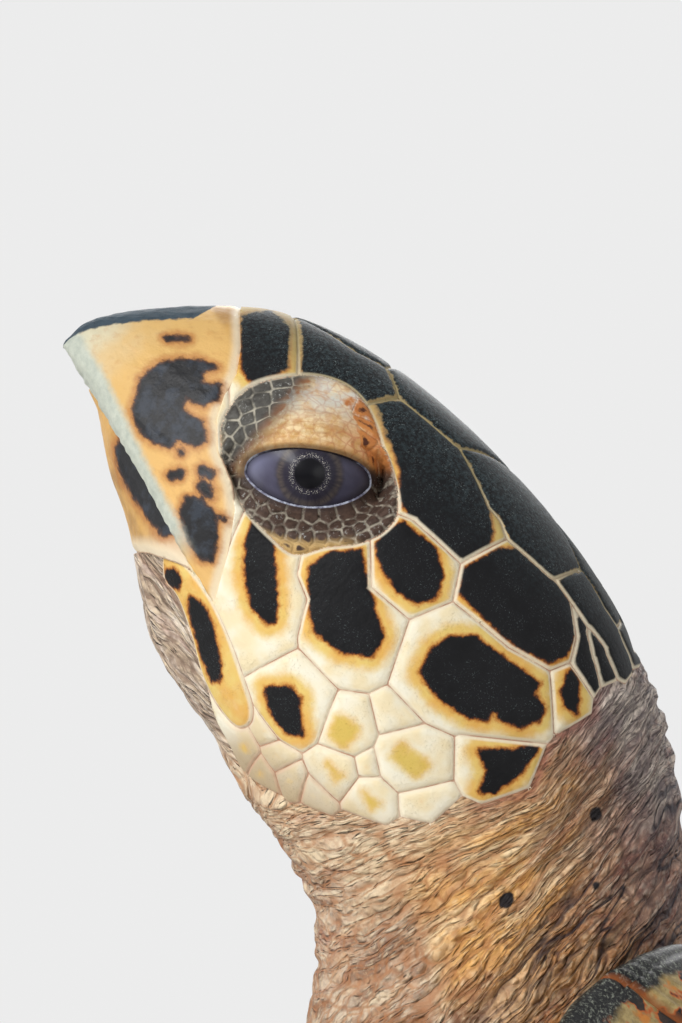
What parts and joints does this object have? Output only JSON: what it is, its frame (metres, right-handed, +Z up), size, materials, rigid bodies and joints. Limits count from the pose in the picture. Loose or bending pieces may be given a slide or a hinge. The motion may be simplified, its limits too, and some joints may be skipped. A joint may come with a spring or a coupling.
{
  "type": "hawksbill sea turtle",
  "caption": "Life-size hawksbill sea turtle swimming steeply upwards with its head turned a little, held by rods on a plain flat display stand.",
  "frame": {"origin": "centre of the stand's underside, on the floor under the middle of the turtle's shell", "axes": "+Z up, -Y the way that the turtle faces, +X to the turtle's left"},
  "size_m": [0.8602, 0.596, 0.886],
  "materials": {
    "skin": "wrinkled hide, tan to purplish brown, satin",
    "head_scales": "smooth scales, black patches in cream and yellow borders, satin",
    "flipper_scales": "small dark scales with pale seams, satin",
    "beak": "horn, amber and cream with dark blotches, satin",
    "eye": "wet and glossy, dark with a violet-grey ring",
    "claw": "horn, satin",
    "scute": "translucent horn plates, amber and dark brown streaks, satin",
    "shell_rim": "horn plates, dark brown with amber and pale green streaks, satin",
    "plastron": "pale yellow horn plates, satin",
    "stand_wood": "dark oiled wood",
    "stand_metal": "brushed"
  },
  "bodies": {
    "root": {"carapace": "shell_rim", "claw_front_left_1": "claw", "claw_front_left_2": "claw", "claw_front_right_1": "claw", "claw_front_right_2": "claw", "claw_hind_left_1": "claw", "claw_hind_left_2": "claw", "claw_hind_right_1": "claw", "claw_hind_right_2": "claw", "costal_scute_left_1": "scute", "costal_scute_left_2": "scute", "costal_scute_left_3": "scute", "costal_scute_left_4": "scute", "costal_scute_right_1": "scute", "costal_scute_right_2": "scute", "costal_scute_right_3": "scute", "costal_scute_right_4": "scute", "eye_left": "eye", "eye_right": "eye", "front_flipper_left": "flipper_scales", "front_flipper_right": "flipper_scales", "head": "head_scales", "hind_flipper_left": "flipper_scales", "hind_flipper_right": "flipper_scales", "hips": "skin", "lower_jaw": "beak", "neck": "skin", "plastron": "plastron", "shoulders": "skin", "stand_base": "stand_wood", "stand_flange_front": "stand_metal", "stand_flange_rear": "stand_metal", "stand_rod_front": "stand_metal", "stand_rod_rear": "stand_metal", "tail": "skin", "upper_beak": "beak", "vertebral_scute_1": "scute", "vertebral_scute_2": "scute", "vertebral_scute_3": "scute", "vertebral_scute_4": "scute", "vertebral_scute_5": "scute"}
  },
  "joints": []
}
